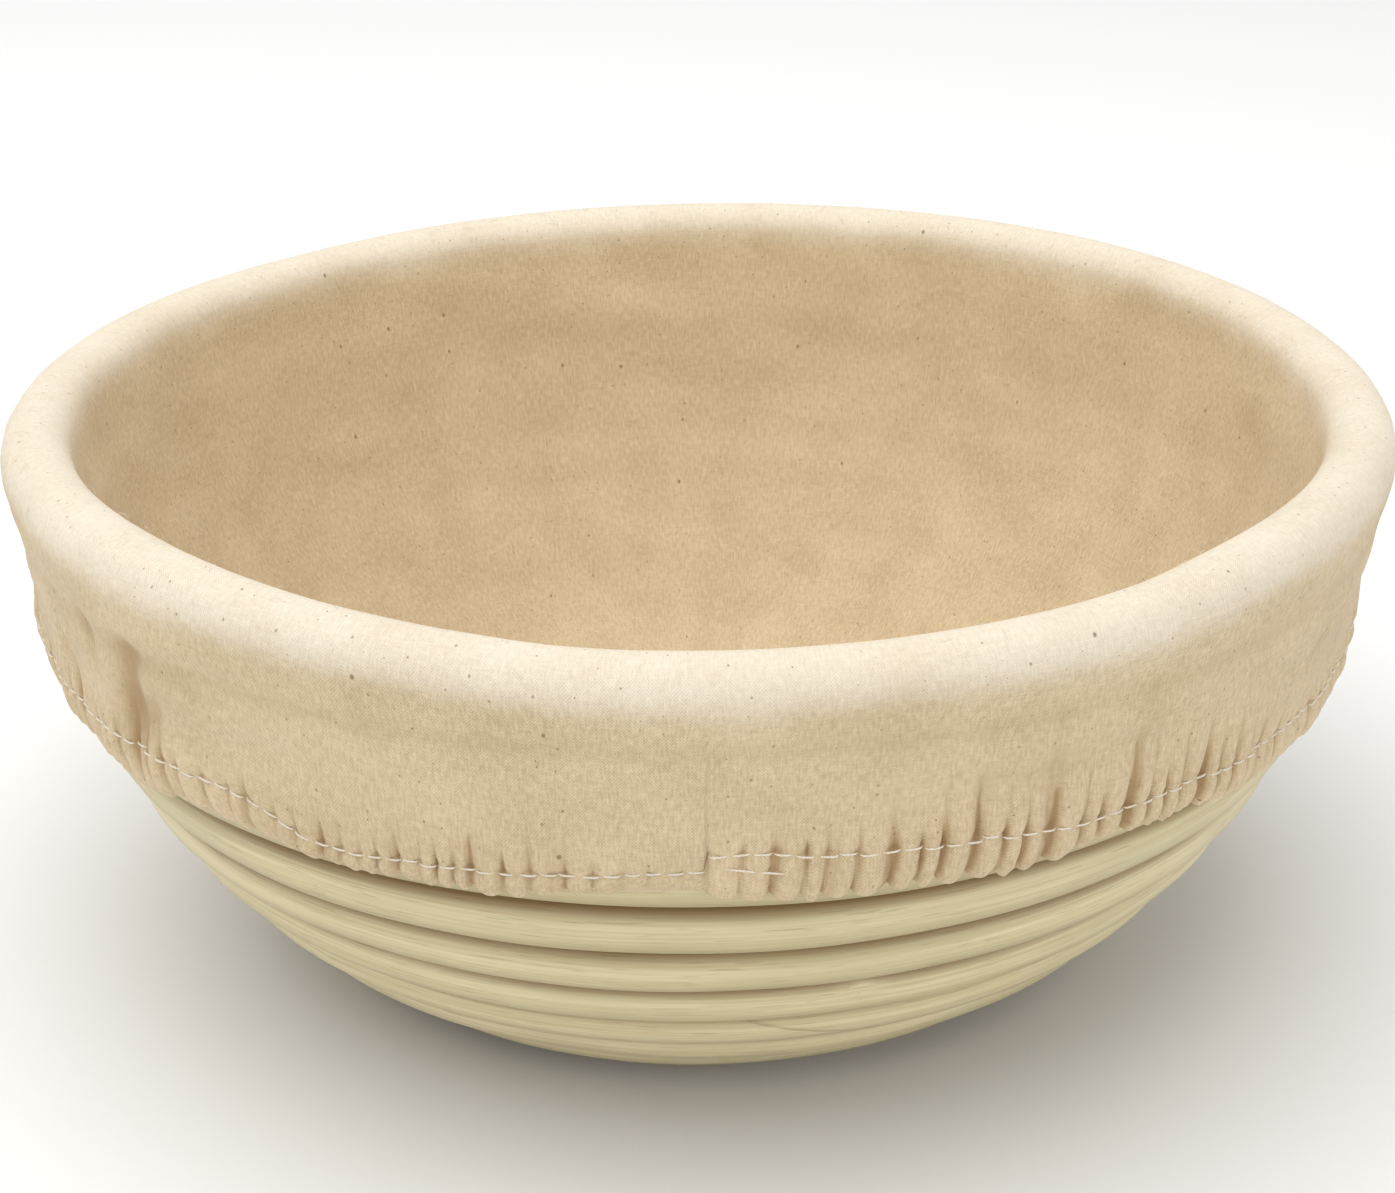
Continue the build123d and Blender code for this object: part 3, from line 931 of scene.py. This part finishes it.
side_runs = []
for share in np.linspace(0.06, 0.94, 8):
    down = share * stitch_line[0] + np.linspace(-1.1, 1.1, 5) * MM
    out = np.array([skirt_shape(angles[:1], np.array([d]), slice(0, 1))[0][0] for d in down])
    under = 0.34 * MM + 0.05 * MM * np.abs(np.linspace(-1, 1, 5))
    side_runs.append((on_wall(np.full(5, angles[0]), down, out - under), np.array([0.0, -1.0, 0.0])))
side_stitches = new_piece(
    thread_mesh("side_seam_stitches", side_runs, SIDE_THREAD),
    sewing_thread,
    "liner",
    "thread",
    "side_seam_stitching",
)

base_runs = []
panel_top = np.array(panel_points[1:]).reshape(PANEL_RINGS, PANEL_SIDES, 3)
stitch_radius = BASE_CLOTH_RADIUS - 2.4 * MM
nearest = np.argmin(np.abs(panel_top[:, 0, 0] - stitch_radius))
for k in range(BASE_STITCHES):
    turned = TURN * (k + np.linspace(0.12, 0.88, 6)) / BASE_STITCHES
    level = np.interp(turned, panel_angle, panel_top[nearest, :, 2], period=TURN)
    dip = 0.30 * MM * np.abs(np.linspace(-1, 1, 6)) ** 4
    height = level + 0.16 * MM - dip
    path = np.stack([stitch_radius * np.cos(turned), stitch_radius * np.sin(turned), height], -1)
    base_runs.append((path, np.array([0.0, 0.0, 1.0])))
base_stitches = new_piece(
    thread_mesh("base_seam_stitches", base_runs, THREAD),
    sewing_thread,
    "liner",
    "thread",
    "base_seam_stitching",
)

# Short loose fibres that stand off the cloth on the roll.
FIBRE = 0.07 * MM
FIBRES = 150
FIBRE_POINTS = 9
fibre_draw = np.random.default_rng(52)
fibre_runs = []
for k in range(FIBRES):
    start = fibre_draw.uniform(0, TURN)
    tilt = fibre_draw.uniform(-70, 45)
    rise = float(np.interp(start, np.arange(COLUMNS) * TURN / COLUMNS, crest_rise))
    length = fibre_draw.uniform(1.2, 3.4) * MM
    curl = fibre_draw.uniform(-2.6, 2.6)
    heading = fibre_draw.uniform(0, TURN)
    share = np.linspace(0, 1, FIBRE_POINTS)
    aim = heading + curl * share
    aside = np.cumsum(np.cos(aim)) * length / FIBRE_POINTS
    over = np.cumsum(np.sin(aim)) * length / FIBRE_POINTS
    clear = 0.02 * MM + fibre_draw.uniform(0.15, 0.8) * MM * np.sin(math.pi * 0.8 * share)
    turned = math.radians(tilt) + over / ROLL
    lifted = ROLL + clear
    angle = SEAM + start + aside / RIM_RADIUS
    path = on_wall(angle, -rise - lifted * np.cos(turned), ROLL_OUT + lifted * np.sin(turned))
    fibre_runs.append((path, np.array([0.03, 0.02, 1.0])))
loose_fibres = new_piece(thread_mesh("loose_fibres", fibre_runs, FIBRE, 3), sewing_thread, "liner", "calico")

ELASTIC_SIDES = 12
ELASTIC_HALF_WIDTH = 2.4 * MM
ELASTIC_HALF_THICK = 0.16 * MM
elastic_angle = angles[::2]
elastic_columns = len(elastic_angle)
around = TURN * np.arange(ELASTIC_SIDES) / ELASTIC_SIDES
band_top = stitch_line[::2] + 1.0 * MM
band_low = hem_line[::2] - 1.4 * MM
band_middle = (band_top + band_low) / 2
half_width = np.minimum((band_low - band_top) / 2, ELASTIC_HALF_WIDTH)
elastic_rows = []
for turned in around:
    thick = ELASTIC_HALF_THICK * np.sign(np.sin(turned)) * abs(np.sin(turned)) ** 0.6
    across = np.sign(np.cos(turned)) * abs(np.cos(turned)) ** 0.6
    elastic_rows.append(on_wall(elastic_angle, band_middle + half_width * across, CANE + 0.48 * MM + thick))
last = (ELASTIC_SIDES - 1) * elastic_columns
closing = [
    [last + k, last + (k + 1) % elastic_columns, (k + 1) % elastic_columns, k]
    for k in range(elastic_columns)
]
elastic_mesh = new_mesh(
    "hem_elastic_band", np.array(elastic_rows), ring_faces(ELASTIC_SIDES, elastic_columns) + closing
)
lay_weave(
    elastic_mesh,
    np.tile((elastic_angle - SEAM) * RIM_RADIUS, ELASTIC_SIDES),
    np.repeat(np.cos(around) * ELASTIC_HALF_WIDTH, elastic_columns),
    TURN * RIM_RADIUS,
)
elastic = new_piece(elastic_mesh, braided_elastic, "liner", "elastic", "hem_elastic")

# ---------------------------------------------------------------- floor, lights and camera

FLOOR_HALF = 6.0
floor_finish = Finish("pale_floor")
floor_grain = floor_finish.grain(floor_finish.node("ShaderNodeTexCoord", output="Object"), (3, 3, 3))
floor_material = floor_finish.done(
    Base_Color=floor_finish.mix(floor_grain, (0.90, 0.90, 0.895), (0.92, 0.92, 0.915)), Roughness=0.9
)
floor_corners = [(x * FLOOR_HALF, y * FLOOR_HALF, 0) for x, y in ((-1, -1), (1, -1), (1, 1), (-1, 1))]
floor_mesh = new_mesh("floor", floor_corners, [[0, 1, 2, 3]])
floor_mesh.materials.append(floor_material)
floor = bpy.data.objects.new("floor", floor_mesh)
bpy.context.scene.collection.objects.link(floor)
floor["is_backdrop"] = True


LOOKED_AT = (0, 0, 0.05)


def soft_light(name, place, size, power):
    """A round white area light that points at the basket."""
    lamp = bpy.data.lights.new(name, "AREA")
    lamp.shape = "DISK"
    lamp.size = size
    lamp.energy = power
    holder = bpy.data.objects.new(name, lamp)
    holder.location = place
    holder.rotation_mode = "QUATERNION"
    holder.rotation_quaternion = (Vector(LOOKED_AT) - Vector(place)).to_track_quat("-Z", "Y")
    bpy.context.scene.collection.objects.link(holder)


soft_light("overhead_softbox", (-0.25, -0.10, 1.50), 2.1, 21)
soft_light("front_left_fill", (-1.1, -1.3, 0.75), 0.9, 1.8)
soft_light("front_right_fill", (1.3, -0.9, 0.45), 0.9, 2.6)

world = bpy.data.worlds.new("studio")
world.use_nodes = True
world.node_tree.nodes["Background"].inputs["Color"].default_value = (1, 1, 1, 1)
world.node_tree.nodes["Background"].inputs["Strength"].default_value = 0.60
bpy.context.scene.world = world
bpy.context.scene.view_settings.view_transform = "Standard"

CAMERA_DISTANCE = 0.511
CAMERA_ELEVATION = math.radians(20.05)
rim_centre = Vector((0, 0, RIM_HEIGHT))
back = Vector((0, -math.cos(CAMERA_ELEVATION), math.sin(CAMERA_ELEVATION)))
lens = bpy.data.cameras.new("camera")
lens.sensor_width = 36
lens.lens = 72.4
lens.shift_y = -0.129
lens.clip_start = 0.01
camera = bpy.data.objects.new("camera", lens)
camera.location = rim_centre + back * CAMERA_DISTANCE
camera.rotation_mode = "QUATERNION"
camera.rotation_quaternion = (-back).to_track_quat("-Z", "Y")
bpy.context.scene.collection.objects.link(camera)
bpy.context.scene.camera = camera

low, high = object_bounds()
